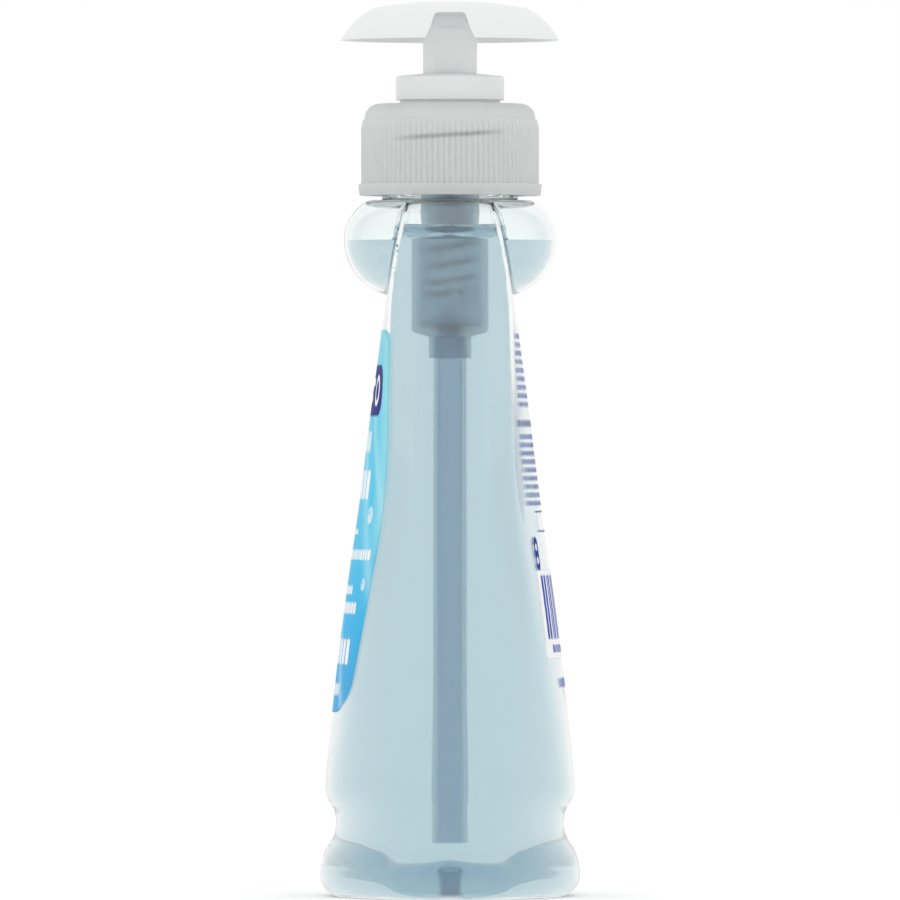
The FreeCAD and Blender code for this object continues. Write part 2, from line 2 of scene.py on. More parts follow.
# # A hand soap pump bottle, seen from its narrow side
# The bottle is blown clear PET: bowed front and back faces, a ball shoulder, a groove above the foot
# and a push-up base. Thin shells and liquids only look right when both of their walls are really
# there, so the bottle and its soap are computed here as closed surfaces with numpy.
# The scene is in metres, the arrays in millimetres, both in the frame's own axes: labels on -X and
# +X, spout to +Y, up is +Z.

# %% Load the frame
import bpy
import math
import numpy as np
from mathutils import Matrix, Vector


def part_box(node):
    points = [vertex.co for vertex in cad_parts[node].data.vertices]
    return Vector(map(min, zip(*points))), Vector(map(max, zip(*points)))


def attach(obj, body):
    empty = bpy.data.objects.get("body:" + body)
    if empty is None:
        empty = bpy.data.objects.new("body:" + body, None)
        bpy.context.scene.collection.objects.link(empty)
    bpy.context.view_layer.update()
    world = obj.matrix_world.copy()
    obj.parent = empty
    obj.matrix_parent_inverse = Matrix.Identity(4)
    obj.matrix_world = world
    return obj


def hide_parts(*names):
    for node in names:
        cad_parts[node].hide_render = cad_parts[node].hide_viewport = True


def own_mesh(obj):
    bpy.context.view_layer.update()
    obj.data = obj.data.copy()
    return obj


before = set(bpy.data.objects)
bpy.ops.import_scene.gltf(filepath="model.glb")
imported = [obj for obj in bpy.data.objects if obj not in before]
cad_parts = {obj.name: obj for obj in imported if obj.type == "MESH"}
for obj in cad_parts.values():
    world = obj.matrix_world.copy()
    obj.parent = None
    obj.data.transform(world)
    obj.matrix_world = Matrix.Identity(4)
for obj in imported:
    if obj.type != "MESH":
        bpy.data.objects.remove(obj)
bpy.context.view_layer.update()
MM = 0.001
print("nodes:", sorted(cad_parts))


# %% [markdown]
# ## Sizes
# Places come from the frame: each node's box tells where its real piece begins and ends. What a box
# can't tell, such as how a face bows, is a named size here, the same as in the construction.

# %% Sizes taken from the frame
def span(node, axis):
    """Lowest and highest place of a node along one axis (0, 1 or 2), in millimetres."""
    low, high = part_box(node)
    return low[axis] / MM, high[axis] / MM


CLOSURE_GAP = 1.0  # from the shoulder's flat land to the closure's lower edge
neck_top = span("bottle", 2)[1]
closure_low = span("screw_closure", 2)[0]
liquid_level = span("liquid_soap", 2)[1]
label_low, label_high = span("front_label", 2)
spring_low, spring_high = span("return_spring", 2)
shoulder = closure_low - CLOSURE_GAP
print(f"shoulder {shoulder:.1f}, soap level {liquid_level:.1f} mm")

# %% Sizes of the bottle
# Millimetres. The radii of foot, groove and body are half depths, from front to back.
WALL = 0.6
WIDTH_RATIO = 1.345  # plan of the body: width over depth
FOOT_RADIUS, FOOT_BULGE, FOOT_BULGE_Z = 22.3, 25.44, 5.0
GROOVE_RADIUS, GROOVE_Z = 22.3, 13.8
BODY_RADIUS, BODY_LOW_Z = 24.55, 22.4
BODY_MID_RADIUS, BODY_TOP_RADIUS = 23.3, 20.0
SHOULDER_ARC, SHOULDER_DROP = 9.5, 0.2
BALL_RADIUS, BALL_Z, BALL_LOWER_ARC, BALL_UPPER_ARC = 20.75, 128.4, 11.3, 8.5
DOME_RADIUS, DOME_HEIGHT, DOME_POWER = 16.5, 6.4, 1.4  # the push-up in the base
CORE_RADIUS, CORE_RATIO, CORE_EDGE = 22.0, 1.55, 2.2  # the core that fills the groove
CORE_TAPER_Z, CORE_TAPER, CORE_TOP_Z = 18.0, 0.15, 24.0
NECK_BASE, NECK_BASE_HEIGHT, NECK_ROOT, NECK_BORE = 13.25, 2.6, 12.5, 10.7
THREAD_PITCH, THREAD_TURNS, THREAD_START = 4.233, 1.25, 5.0
THREAD_DEPTH, THREAD_WIDTH = 1.15, 2.0
FACE_SPAN, SIDE_SPAN = 36.0, 27.0
FACE_ROWS = np.array([  # height, half depth, radius of the bow in plan
    (-2.0, 27.7, 60.0), (22.4, 24.55, 60.0), (41.0, 22.4, 66.0), (60.8, 19.9, 70.0),
    (79.0, 17.3, 75.0), (96.0, 15.2, 104.0), (107.8, 13.6, 200.0), (115.5, 12.7, 400.0),
    (126.6, 11.2, 400.0), (138.0, 8.4, 400.0)])
SIDE_ROWS = np.array([  # height, half width, radius of the bow in plan
    (-2.0, 32.53, 35.0), (22.4, 31.9, 35.0), (41.0, 30.7, 35.0), (60.8, 29.6, 35.0),
    (79.0, 28.7, 35.0), (96.0, 27.5, 35.0), (107.8, 26.4, 35.0), (115.5, 25.6, 35.0),
    (126.6, 24.4, 35.0), (138.0, 23.0, 35.0)])
print("rows of the faces:", len(FACE_ROWS), "rows of the sides:", len(SIDE_ROWS))


# %% [markdown]
# ## Helpers
# A surface here is a grid of points: rows run one way, columns the other, and neighbouring points
# share a quad. The helpers turn such grids into one mesh and add one shader node at a time.

# %% Grid to mesh
def grid_faces(rows, columns, start, wrap):
    """Quads between neighbouring points of a rows x columns grid whose first point is number
    start. With wrap the last column joins the first."""
    last = columns if wrap else columns - 1
    r, c = np.meshgrid(np.arange(rows - 1), np.arange(last), indexing="ij")
    n = (c + 1) % columns
    quads = np.stack([r * columns + c, r * columns + n, (r + 1) * columns + n, (r + 1) * columns + c], -1)
    return quads.reshape(-1, 4) + start


def mesh_piece(name, points, faces, smooth=True):
    """Object from an N x 3 array of points in millimetres and a list of faces."""
    mesh = bpy.data.meshes.new(name)
    mesh.from_pydata((np.asarray(points) * MM).tolist(), [], [list(f) for f in faces])
    mesh.validate()
    mesh.polygons.foreach_set("use_smooth", np.full(len(mesh.polygons), smooth))
    mesh.update()
    piece = bpy.data.objects.new(name, mesh)
    bpy.context.scene.collection.objects.link(piece)
    return piece


def turned_piece(name, radius, height, sides):
    """Piece from radius and height arrays (rows x sides): a point is radius * (cos a, sin a) at
    that height. Rows run so that the surface's outside is on the right of the path; the first and
    the last row are closed with a point each."""
    angle = np.linspace(0, 2 * np.pi, sides, endpoint=False)
    points = np.stack([radius * np.cos(angle), radius * np.sin(angle), height], -1)
    rows = len(points)
    flat = points.reshape(-1, 3)
    ends = np.array([flat[:sides].mean(0), flat[-sides:].mean(0)])
    first, last = rows * sides, rows * sides + 1
    ring = np.arange(sides)
    nxt = (ring + 1) % sides
    low = np.stack([np.full(sides, first), nxt, ring], -1)
    high = np.stack([np.full(sides, last), (rows - 1) * sides + ring, (rows - 1) * sides + nxt], -1)
    faces = grid_faces(rows, sides, 0, True).tolist() + low.tolist() + high.tolist()
    return mesh_piece(name, np.concatenate([flat, ends]), faces)


def arc_points(centre, radius, start, end, count):
    """Points of an arc in the (radius, height) plane: centre + radius * (cos t, sin t)."""
    t = np.radians(np.linspace(start, end, count))
    return np.stack([centre[0] + radius * np.cos(t), centre[1] + radius * np.sin(t)], -1)


def three_point_arc(a, b, c, count):
    """Arc from a through b to c: its centre is where the perpendicular bisectors meet."""
    a, b, c = (np.asarray(p, float) for p in (a, b, c))
    lhs = 2 * np.array([b - a, c - a])
    rhs = np.array([b @ b - a @ a, c @ c - a @ a])
    centre = np.linalg.solve(lhs, rhs)
    turn = [math.atan2(*(p - centre)[::-1]) for p in (a, b, c)]
    sweep = np.unwrap(turn)
    t = np.linspace(sweep[0], sweep[2], count)
    return centre + np.linalg.norm(a - centre) * np.stack([np.cos(t), np.sin(t)], -1)


def soft_min(a, b, blend):
    """Smaller of two surfaces with their crease rounded: min - h^2/4 blend, h = blend - |a - b|."""
    h = np.maximum(blend - np.abs(a - b), 0)
    return np.minimum(a, b) - h * h / (4 * blend)


def soft_max(a, b, blend):
    """Larger of two surfaces with the corner between them filled by the same rule."""
    return -soft_min(-a, -b, blend)


# %% Colours and shader nodes
def srgb(hex_code):
    """Linear RGBA of a six-digit sRGB hex colour."""
    values = [int(hex_code[i:i + 2], 16) / 255 for i in (0, 2, 4)]
    linear = [v / 12.92 if v <= 0.04045 else ((v + 0.055) / 1.055) ** 2.4 for v in values]
    return (*linear, 1.0)


def add(tree, kind, settings=None, **links):
    """Adds one shader node. settings sets its properties or input sockets by name; links joins an
    input, its name with _ for spaces, to another node's (node, output) pair."""
    node = tree.nodes.new(kind)
    sockets = {s.name: s for s in reversed(node.inputs)} | {s.identifier: s for s in node.inputs}
    for key, value in (settings or {}).items():
        if key in sockets:
            sockets[key].default_value = value
        else:
            setattr(node, key, value)
    for key, (source, output) in links.items():
        socket = sockets[key] if key in sockets else sockets[key.replace("_", " ")]
        outputs = {o.name: o for o in source.outputs} | {o.identifier: o for o in source.outputs}
        tree.links.new(outputs[output], socket)
    return node


def new_material(name):
    """Empty node material with its output node."""
    material = bpy.data.materials.new(name)
    material.use_nodes = True
    material.node_tree.nodes.clear()
    return material, material.node_tree, material.node_tree.nodes.new("ShaderNodeOutputMaterial")


def dress(material, *pieces):
    """Gives the material to each piece in place of what it had."""
    for piece in pieces:
        if len(piece.material_slots):
            for material_slot in piece.material_slots:
                material_slot.material = material
        else:
            piece.data.materials.append(material)


# %% [markdown]
# ## The bottle's form
# Every level of this bottle can be drawn around the middle axis, so its whole outside is one
# function: the distance from the axis for a direction and a height. The body is the smaller of an
# elliptical barrel, a lens between the two bowed faces and a second lens between the narrow sides,
# which are flatter than the ellipse; the ball shoulder is then added as the larger of body and
# ball. Soft versions of smaller and larger round the creases as blowing does.

# %% Outline of the barrel, from foot to side shoulders
FOOT_ROUND = (0.72, 0.28)  # middle of the foot's rounding, as shares of its width and height
BULGE_STEP = (-0.45, 2.6)  # from the bulge to the middle of the arc above it
BODY_STEP = (-0.25, -2.4)  # from the body's lower end to the middle of the arc below it
GROOVE_LIFT = 0.6  # raises the groove's lower end

arc_z = shoulder - SHOULDER_DROP - SHOULDER_ARC
foot, bulge = (FOOT_RADIUS, 0), (FOOT_BULGE, FOOT_BULGE_Z)
foot_round = (FOOT_RADIUS + FOOT_ROUND[0] * (FOOT_BULGE - FOOT_RADIUS), FOOT_ROUND[1] * FOOT_BULGE_Z)
above_bulge = (FOOT_BULGE + BULGE_STEP[0], FOOT_BULGE_Z + BULGE_STEP[1])
above_foot = ((FOOT_BULGE + GROOVE_RADIUS) / 2, (FOOT_BULGE_Z + GROOVE_Z) / 2 + GROOVE_LIFT)
groove = (GROOVE_RADIUS, GROOVE_Z)
below_body = ((BODY_RADIUS + GROOVE_RADIUS) / 2, (BODY_LOW_Z + GROOVE_Z) / 2)
body_round = (BODY_RADIUS + BODY_STEP[0], BODY_LOW_Z + BODY_STEP[1])
body_low, body_top = (BODY_RADIUS, BODY_LOW_Z), (BODY_TOP_RADIUS, arc_z)
body_middle = (BODY_MID_RADIUS, (BODY_LOW_Z + arc_z) / 2)
barrel = np.concatenate([
    three_point_arc(foot, foot_round, bulge, 24),
    three_point_arc(bulge, above_bulge, above_foot, 24)[1:],
    three_point_arc(above_foot, groove, below_body, 32)[1:],
    three_point_arc(below_body, body_round, body_low, 16)[1:],
    three_point_arc(body_low, body_middle, body_top, 48)[1:],
    arc_points((BODY_TOP_RADIUS - SHOULDER_ARC, arc_z), SHOULDER_ARC, 0, 90, 32)[1:],
])
print("barrel outline points:", len(barrel), "widest", barrel[:, 0].max())


# %% Faces and ball
CORE_BLEND, SIDE_BLEND, FACE_BLEND, BALL_BLEND = 0.8, 2.0, 0.9, 0.5  # how far each crease is rounded


def spline(x, y):
    """Natural cubic through the points (x, y), as a function of x. Its bends m are 0 at both ends
    and solve: step before * m before + 2 * both steps * m + step after * m after = 6 * the change
    of slope at that point."""
    n, h = len(x), np.diff(x)
    a, b = np.eye(n), np.zeros(n)
    for i in range(1, n - 1):
        a[i, i - 1:i + 2] = h[i - 1], 2 * (h[i - 1] + h[i]), h[i]
        b[i] = 6 * ((y[i + 1] - y[i]) / h[i] - (y[i] - y[i - 1]) / h[i - 1])
    m = np.linalg.solve(a, b)

    def curve(t):
        i = np.clip(np.searchsorted(x, t) - 1, 0, n - 2)
        u, v, s = t - x[i], x[i + 1] - t, h[i]
        return (m[i] * v**3 + m[i + 1] * u**3) / (6 * s) + (y[i] / s - m[i] * s / 6) * v + (
            y[i + 1] / s - m[i + 1] * s / 6) * u
    return curve


def panel(rows, span):
    """Half depth and bow of a panel at any height: splines through the rows, the bow by its sag
    over the span."""
    depth = spline(rows[:, 0], rows[:, 1])
    sag = spline(rows[:, 0], rows[:, 2] - np.sqrt(rows[:, 2] ** 2 - span**2))
    return lambda height: (depth(height), (span**2 + sag(height) ** 2) / (2 * sag(height)))


face_panel, side_panel = panel(FACE_ROWS, FACE_SPAN), panel(SIDE_ROWS, SIDE_SPAN)


def ball_reach(height, inset):
    """Radius of the ball shoulder: centre + sqrt(arc^2 - rise^2), with the lower arc below its
    widest place and the upper arc above; zero outside it."""
    rise = height - BALL_Z
    arc = np.where(rise < 0, BALL_LOWER_ARC, BALL_UPPER_ARC)
    reach = (arc - inset) ** 2 - rise**2
    return np.where(reach > 0, BALL_RADIUS - arc + np.sqrt(np.maximum(reach, 0)), 0.0)


def panel_reach(towards, across, height, inset, shape):
    """Distance from the axis to a bowed panel, for a direction with the parts towards and across
    the panel: with c = depth - bow, towards * c + sqrt((bow - inset)^2 - (c * across)^2)."""
    depth, bow = shape(height)
    centre = depth - bow
    return np.abs(towards) * centre + np.sqrt((bow - inset) ** 2 - (centre * across) ** 2)


def ellipse_reach(angle, radius, ratio):
    """Distance from the axis to an ellipse: radius / sqrt(cos^2 a + (sin a / ratio)^2)."""
    return radius / np.sqrt(np.cos(angle) ** 2 + (np.sin(angle) / ratio) ** 2)


def barrel_reach(angle, height, inset):
    """Elliptical barrel, and below it the core that fills the groove towards the narrow sides:
    its radius rises from the foot's by a quarter circle, and tapers to end in the barrel."""
    radius = np.interp(height, barrel[:, 1], barrel[:, 0]) - inset
    rise = np.clip((CORE_EDGE + inset - height) / CORE_EDGE, 0, 1)
    taper = CORE_TAPER * np.maximum(height - CORE_TAPER_Z, 0)
    core = CORE_RADIUS - CORE_EDGE * (1 - np.sqrt(1 - rise**2)) - taper - inset
    core = np.where(height < CORE_TOP_Z, core, 0.0)
    plan = ellipse_reach(angle, radius, WIDTH_RATIO)
    return soft_max(plan, ellipse_reach(angle, core, CORE_RATIO), CORE_BLEND)


def side_form(angle, height, inset):
    """Barrel with its narrow sides flattened to their own bow."""
    side = panel_reach(np.sin(angle), np.cos(angle), height, inset, side_panel)
    return soft_min(barrel_reach(angle, height, inset), side, SIDE_BLEND)


def bottle_reach(angle, height, inset=0.0):
    """Distance from the axis to the bottle's surface, drawn inset from it."""
    face = panel_reach(np.cos(angle), np.sin(angle), height, inset, face_panel)
    body = soft_min(side_form(angle, height, inset), face, FACE_BLEND)
    return soft_max(body, ball_reach(height, inset), BALL_BLEND)


print("half depth at the label's lower end:", round(float(bottle_reach(0.0, label_low)), 2), "mm")


# %% [markdown]
# ## The bottle
# One path runs from the middle of the push-up over the foot, up the outside, over the neck and down
# the inside to the middle again. Turned around the axis it gives a closed wall of the real thickness,
# so light bends at both of its sides. The neck's thread is part of the wall: where the helix passes,
# the neck's radius swells by a flat-topped ridge.

# %% Rows of the path
SIDES, DOME_ROWS, BALL_ROWS, THREAD_ROWS = 224, 20, 24, 44
MIDDLE_SHARE = 0.02  # the push-up's first row
INNER_DENSE = 0.8  # the inside needs fewer rows than the outside
# Bands of rows up the wall: upper end, number of rows, and how much they crowd at the lower end.
BANDS = ((FOOT_BULGE_Z, 10, 1.8), (24.0, 28, 1.0), (114.0, 40, 1.0), (121.0, 26, 1.0), (BALL_Z, 10, 1.0))
LAND_SHARES = (0.35, 0.8)  # rows on the land between ball and neck
NECK_FILLET = ((0.35, 0.05), (0.08, 0.25), (0, 0.5))  # out from the neck, up from the land
THREAD_LOW, THREAD_HIGH, NECK_STEP = 3.6, 0.5, 0.5  # above the land, below the rim, step
RIM_EDGE, BORE_ROWS = 0.4, (1.5, 0.2)  # rounding of the rim, rows above the land
ROOF_SHARES = (0.02, 0.5)  # rows under the land, from the bore to the ball
around = np.linspace(0, 2 * np.pi, SIDES, endpoint=False)


def spread(start, end, count, low_power=1.0):
    """count heights from start to end, crowded near the start when low_power is above 1."""
    return start + (end - start) * np.linspace(0, 1, count) ** low_power


def wall_rows(inset, dense=1.0):
    """Heights up the bottle, closer together at the foot, the groove, the waist and the ball. On
    the ball's upper arc they are its centre + radius * sin(angle), at even angles."""
    rows, low = [np.array([inset])], inset
    for high, count, crowd in BANDS:
        rows.append(spread(low, high, int(count * dense), crowd)[1:])
        low = high
    top = math.asin((shoulder - inset - BALL_Z) / (BALL_UPPER_ARC - inset))
    rows.append(BALL_Z + (BALL_UPPER_ARC - inset) * np.sin(np.linspace(0, top, int(BALL_ROWS * dense)))[1:])
    return np.concatenate(rows)


def base_rows(inset):
    """Rows of the push-up from its middle to its edge, a low cone with a rounded top: for each
    share of its radius the height is dome height * (1 - share^1.4) + inset."""
    share = np.linspace(MIDDLE_SHARE, 1, DOME_ROWS)
    height = DOME_HEIGHT * (1 - share**DOME_POWER) + inset
    return [(ellipse_reach(around, (DOME_RADIUS + inset) * s, WIDTH_RATIO), z) for s, z in zip(share, height)]


def neck_ridge(angle, height):
    """Thread on the neck: how far a point stands out, a trapezoid across its distance from the
    helix start + pitch * turn, faded in and out over a twelfth of a turn."""
    ridge = np.zeros(np.broadcast(angle, height).shape)
    for lap in range(2):
        turn = angle / (2 * np.pi) + lap
        middle = shoulder + THREAD_START + THREAD_PITCH * turn
        across = np.abs(height - middle)
        shape = np.clip((THREAD_WIDTH / 2 - across) / (THREAD_WIDTH / 4), 0, 1)
        fade = np.clip(np.minimum(turn, THREAD_TURNS - turn) * 12, 0, 1)
        ridge = np.maximum(ridge, shape * fade * THREAD_DEPTH)
    return ridge


def as_arrays(rows):
    """Radius and height arrays (rows x sides) from a list of (radius, height) rows, in which each
    of the two is one number or one number for every side."""
    radius = np.array([np.broadcast_to(r, (SIDES,)) for r, z in rows])
    return radius, np.array([np.broadcast_to(z, (SIDES,)) for r, z in rows])


def bottle_path():
    """Radius and height of every row of the closed wall, outside first."""
    rows = base_rows(0)
    rows += [(bottle_reach(around, z), z) for z in wall_rows(0)]
    land = bottle_reach(around, shoulder)
    rows += [(land + (NECK_BASE - land) * s, shoulder) for s in LAND_SHARES]
    rows += [(NECK_BASE + out, shoulder + up) for out, up in NECK_FILLET]
    step = shoulder + NECK_BASE_HEIGHT
    rows += [(NECK_BASE, step), (NECK_ROOT, step + NECK_STEP)]
    for z in np.linspace(shoulder + THREAD_LOW, neck_top - THREAD_HIGH, THREAD_ROWS):
        rows.append((NECK_ROOT + neck_ridge(around, z), z))
    rows += [(NECK_ROOT - RIM_EDGE, neck_top), (NECK_BORE + RIM_EDGE, neck_top)]
    rows += [(NECK_BORE, neck_top - RIM_EDGE)] + [(NECK_BORE, shoulder + up) for up in BORE_ROWS]
    inner = bottle_reach(around, shoulder - WALL, WALL)
    rows += [(NECK_BORE + (inner - NECK_BORE) * s, shoulder - WALL) for s in ROOF_SHARES]
    rows += [(bottle_reach(around, z, WALL), z) for z in wall_rows(WALL, INNER_DENSE)[::-1]]
    return as_arrays(rows + base_rows(WALL)[::-1])


# %% Make the bottle
radius, height = bottle_path()
bottle = turned_piece("blown_bottle", radius, height, SIDES)
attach(bottle, "bottle_body")
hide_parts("bottle")
print("bottle:", len(radius), "rows,", len(bottle.data.polygons), "faces")

# %% [markdown]
# ## The soap
# The soap fills the hollow to its level, and the pump simply stands in it. Along the wall its
# surface keeps a hairline away, so that wall and soap each bend the light by their own amount. Over
# the push-up it reaches a hairline into the wall instead: the two faces then act as one. There the
# soap's colour is painted a deeper blue, painted shade where light passes through much soap: an
# attribute is 1 in the middle of the push-up and fades to 0 at its rim, and the colour follows it.

# %% Make the soap
HAIRLINE, SINK = 0.03, 0.05  # gap to the wall, reach into the base
CREEP, CREEP_ROUND = 3.1, 0.3  # climb on the narrow sides, and elsewhere
CREEP_HALF_WIDTH, CREEP_STEP, CREEP_FALL = 10.9, 0.8, 1.3
CREEP_SHARES = (0.0, 0.25, 0.5, 0.75, 1.0)
CREEP_STEPS = (0.12, 0.4, 0.8, 1.4, 2.2, 3.4, 5.0)  # rows of the surface, away from the wall
LEVEL_SHARES = (0.8, 0.5, 0.2)  # and from there to the axis
# The painted shade over the push-up ends at the first share of its radius and fades in over the second.
PAINTED_SHADE_END, PAINTED_SHADE_FADE = 0.8, 0.45  # shares of the push-up's radius


def climb():
    """How far the soap creeps up the wall: round + (creep - round) * s^2 * (3 - 2 s), where s goes
    from 0 to 1 over the step at the end of the flat narrow side."""
    across = np.abs(bottle_reach(around, liquid_level, WALL) * np.cos(around))
    step = np.clip((CREEP_HALF_WIDTH - across) / CREEP_STEP, 0, 1)
    return CREEP_ROUND + (CREEP - CREEP_ROUND) * step * step * (3 - 2 * step)


def soap_path():
    """From the middle of the base up along the hollow to where the soap has crept, then back down
    and in to the axis: level + creep * exp(-distance from the wall / fall)."""
    inset, creep = WALL + HAIRLINE, climb()
    rows = base_rows(WALL - SINK)
    rows += [(bottle_reach(around, z, inset), z) for z in wall_rows(inset, INNER_DENSE)
             if z < liquid_level - CREEP_ROUND]
    rows += [(bottle_reach(around, z, inset), z) for z in (liquid_level + creep * s for s in CREEP_SHARES)]
    edge = bottle_reach(around, liquid_level + creep, inset)
    rows += [(edge - d, liquid_level + creep * math.exp(-d / CREEP_FALL)) for d in CREEP_STEPS]
    rows += [((edge - CREEP_STEPS[-1]) * s, liquid_level) for s in LEVEL_SHARES]
    return as_arrays(rows)


def paint_base_shade(soap):
    """Painted shade over the push-up, an attribute at every point: (0.8 - share of the push-up's
    radius) / 0.45, kept between 0 and 1, and 0 outside the push-up."""
    share = np.linspace(MIDDLE_SHARE, 1, DOME_ROWS)
    painted_depth_shade = np.zeros(len(soap.data.vertices))
    painted_depth_shade[:DOME_ROWS * SIDES] = np.repeat(np.clip((PAINTED_SHADE_END - share) / PAINTED_SHADE_FADE, 0, 1), SIDES)
    soap.data.attributes.new("painted_depth_shade", "FLOAT", "POINT").data.foreach_set("value", painted_depth_shade.astype(np.float32))


radius, height = soap_path()
soap = turned_piece("liquid_fill", radius, height, SIDES)
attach(soap, "bottle_body")
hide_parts("liquid_soap")
paint_base_shade(soap)
print("soap:", len(soap.data.polygons), "faces, level", round(liquid_level, 1), "mm")

# %% [markdown]
# ## The labels
# Each label is a die-cut film that follows the bowed face and stops just inside its crease. Its
# print is worked out at every point of a fine grid from the place on the face, in millimetres, and
# stored as a colour attribute, because it must follow the film. The print is generic: fields of
# colour, bars and bubbles.

# %% Film that follows a face
GLUE, FILM, MARGIN = 0.03, 0.12, 0.9
LOW_CORNER, HIGH_CORNER = (10.0, 6.5), 3.0


def crease_angle(height, inset, tries=400):
    """Angle from the middle of the face to its crease: where barrel and face are equally far."""
    angle = np.linspace(0, np.pi / 2, tries)[:, None]
    face = panel_reach(np.cos(angle), np.sin(angle), height[None], inset, face_panel)
    gap = side_form(angle, height[None], inset) - face
    return angle[np.argmax(gap < 0, axis=0), 0]


def label_grid(side, lift, columns=168, rows=290):
    """Grid of points on one face (side -1 front, +1 back) lifted off it. Each row ends at the
    crease, drawn in at a rounded corner by corner * (1 - sqrt(1 - share^2)), where share says how
    far the row is into the corner."""
    height = np.linspace(label_low, label_high, rows)
    edge = crease_angle(height, MARGIN)
    low = np.clip((label_low + LOW_CORNER[1] - height) / LOW_CORNER[1], 0, 1)
    high = np.clip((height - label_high + HIGH_CORNER) / HIGH_CORNER, 0, 1)
    reach = bottle_reach(edge, height)
    inwards = LOW_CORNER[0] * (1 - np.sqrt(1 - low**2)) + HIGH_CORNER * (1 - np.sqrt(1 - high**2))
    edge = edge - inwards / reach
    angle = np.linspace(-1, 1, columns)[None] * edge[:, None]
    radius = bottle_reach(angle, height[:, None], -lift)
    x = side * radius * np.cos(angle)
    y = side * radius * np.sin(angle)
    return np.stack([x, y, np.broadcast_to(height[:, None], x.shape)], -1)


def smooth_edge(distance, width=0.22):
    """Mask of a shape from its signed distance, 0.5 - distance / width kept between 0 and 1: 1
    inside, 0 outside, and the width of its edge is about one grid step."""
    return np.clip(0.5 - distance / width, 0, 1)


def rounded_box(y, z, centre, half, corner=0.0):
    """Signed distance to a box with rounded corners: with dy and dz the distances past the sides
    of the box less its corners, hypot(dy, dz) outside, the larger one inside, less the corner."""
    dy, dz = np.abs(y - centre[0]) - half[0] + corner, np.abs(z - centre[1]) - half[1] + corner
    return np.hypot(np.maximum(dy, 0), np.maximum(dz, 0)) + np.minimum(np.maximum(dy, dz), 0) - corner


def ring_shape(y, z, centre, radius, line=None):
    """Signed distance to a disc, distance from its centre - radius, or to a ring of that line
    width, |distance from its centre - radius| - line / 2."""
    away = np.hypot(y - centre[0], z - centre[1]) - radius
    return away if line is None else np.abs(away) - line / 2


def paint(sheet, mask, ink, opacity=1.0):
    """Lays an ink over the sheet where the mask is 1: its colour becomes colour * (1 - share) + ink
    * share, with share = mask * opacity, and its cover at least the share."""
    share = mask * opacity
    ink = np.array(srgb(ink)[:3])
    sheet["colour"] = sheet["colour"] * (1 - share[..., None]) + ink * share[..., None]
    sheet["cover"] = np.maximum(sheet["cover"], share)


def stamp(sheet, distance, ink, opacity=1.0):
    """Lays an ink inside the shape with that signed distance."""
    paint(sheet, smooth_edge(distance), ink, opacity)


def bar_rows(y, z, top, count, pitch, height, half_width, seed, lengths):
    """Mask of rows of short bars, as small print looks from a step away. Each bar is a random
    length between the two, and the next starts 0.3 mm + 0.15 * the shorter length after it."""
    chance = np.random.default_rng(seed)
    mask = np.zeros(y.shape)
    for line in range(count):
        middle, at = top - line * pitch, -half_width + chance.uniform(0, 0.8)
        while at < half_width - lengths[0]:
            length = min(chance.uniform(*lengths), half_width - at)
            bar = rounded_box(y, z, (at + length / 2, middle), (length / 2, height / 2), height * 0.2)
            mask = np.maximum(mask, smooth_edge(bar))
            at += length + 0.3 + 0.15 * lengths[0]
    return mask


# %% Print of the front label
# Sizes are millimetres on the face: first across it, counted from its middle, then height.
FIELD = ("52AEE6", "46C0F2", "56CDF3", "6CD5F2", "8ADEEE")  # blue below to cyan above
PANEL, PANEL_HALF, PANEL_CORNER = (0, 98.8), (20.5, 5.0), 3.8
PANEL_RING_AT, PANEL_RING, PANEL_LINE = 14.0, 2.5, 1.1
PANEL_BARS = ((100.4, 8.0), (97.2, 5.5))  # height, half length
TALL_BARS = ((77.6, 83.2, 15.4, 4.2), (45.4, 50.4, 15.4, 3.4))  # low, high, half width, pitch
FRONT_ROWS = (  # height, bar height, half width, seed, shortest and longest bar
    (88.8, 4.6, 12.5, 1, (0.7, 1.1)), (71.2, 0.9, 9.5, 2, (0.8, 2.4)), (66.8, 2.0, 23.5, 3, (0.8, 1.8)),
    (59.9, 1.7, 12.5, 4, (0.8, 2.0)), (56.4, 2.2, 18.5, 5, (0.9, 2.2)), (40.5, 2.4, 12.0, 6, (0.6, 1.4)))
BUBBLES = ((-19.5, 53.0, 1.5), (20.5, 61.0, 1.2), (19.0, 74.5, 1.7), (-20.0, 84.0, 1.3))
PALE_ACROSS, PALE_UP = (19.0, 5.0), (60.0, 12.0)  # where the paler rim starts, its reach


def front_field(y, z):
    """Cyan to blue field: neighbouring colours mixed by the height's share of the label, streaks
    from the cube of a slanting sine wave, and a paler rim towards the upper sides."""
    share = np.clip((z - label_low) / (label_high - label_low), 0, 1)[..., None]
    stops = [np.array(srgb(h)[:3]) for h in FIELD]
    place = share * (len(stops) - 1)
    colour = sum(s * np.clip(1 - np.abs(place - i), 0, 1) for i, s in enumerate(stops))
    sheet = {"colour": colour, "cover": np.ones(y.shape)}
    streak = 0.5 + 0.5 * np.sin(0.35 * y + 0.22 * z + 1.6 * np.sin(0.11 * z + 0.2 * y))
    paint(sheet, streak ** 3, "C4F2FB", 0.45)
    rim = np.clip((np.abs(y) - PALE_ACROSS[0]) / PALE_ACROSS[1], 0, 1)
    paint(sheet, rim * np.clip((z - PALE_UP[0]) / PALE_UP[1], 0, 1), "B4F0F2", 0.5)
    return sheet


